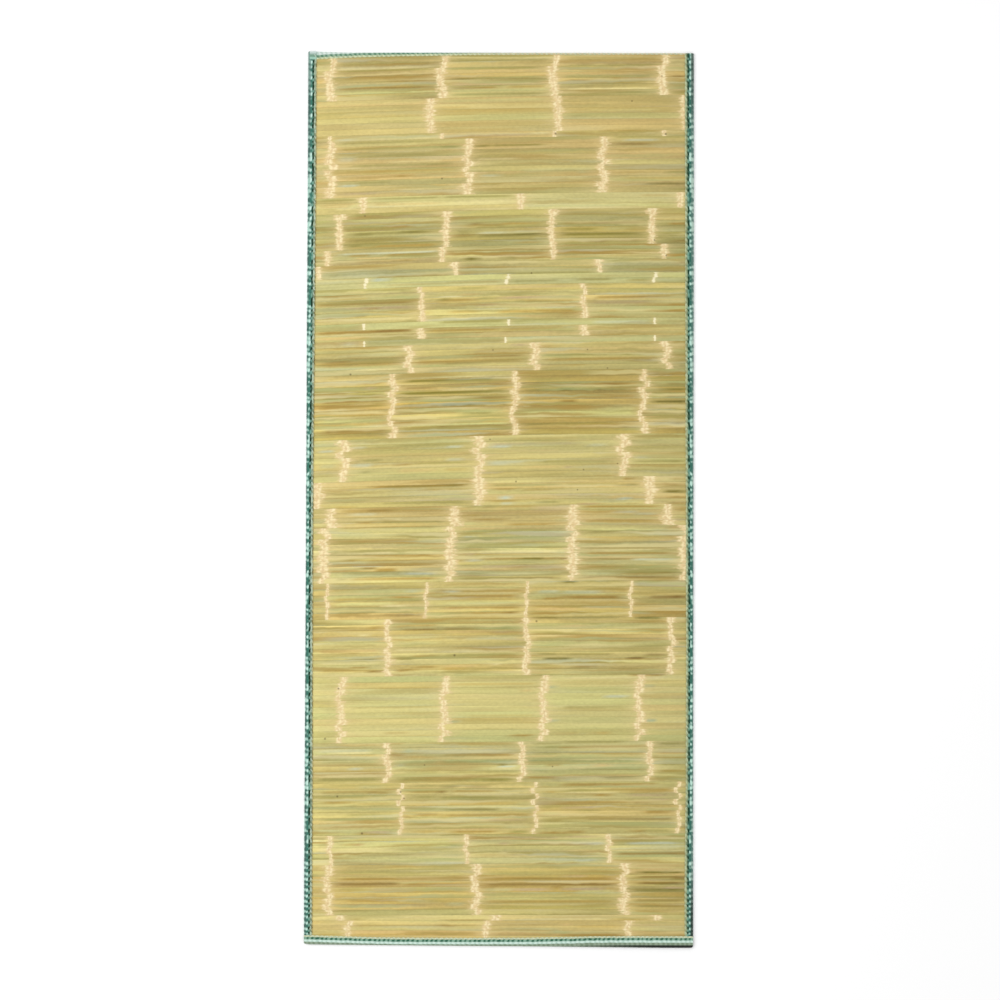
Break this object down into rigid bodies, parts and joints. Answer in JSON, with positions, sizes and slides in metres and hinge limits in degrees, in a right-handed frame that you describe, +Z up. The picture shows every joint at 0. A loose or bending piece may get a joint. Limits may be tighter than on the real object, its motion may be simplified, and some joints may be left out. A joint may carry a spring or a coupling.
{
  "type": "bamboo mat",
  "caption": "Flat oblong floor mat of split bamboo slats laid side by side, with a woven green tape folded over each edge.",
  "frame": {"origin": "centre of the mat's outline on the surface it lies on", "axes": "+Y along the mat's length towards its top end, +X along the slats, +Z up out of the mat's face"},
  "size_m": [0.8066, 1.8546, 0.0048],
  "materials": {
    "bamboo": "smooth split cane, satin",
    "tape": "woven cotton tape, matt"
  },
  "bodies": {
    "root": {"slat_field": "bamboo", "binding_left": "tape", "binding_right": "tape", "binding_top": "tape", "binding_bottom": "tape"}
  },
  "joints": []
}
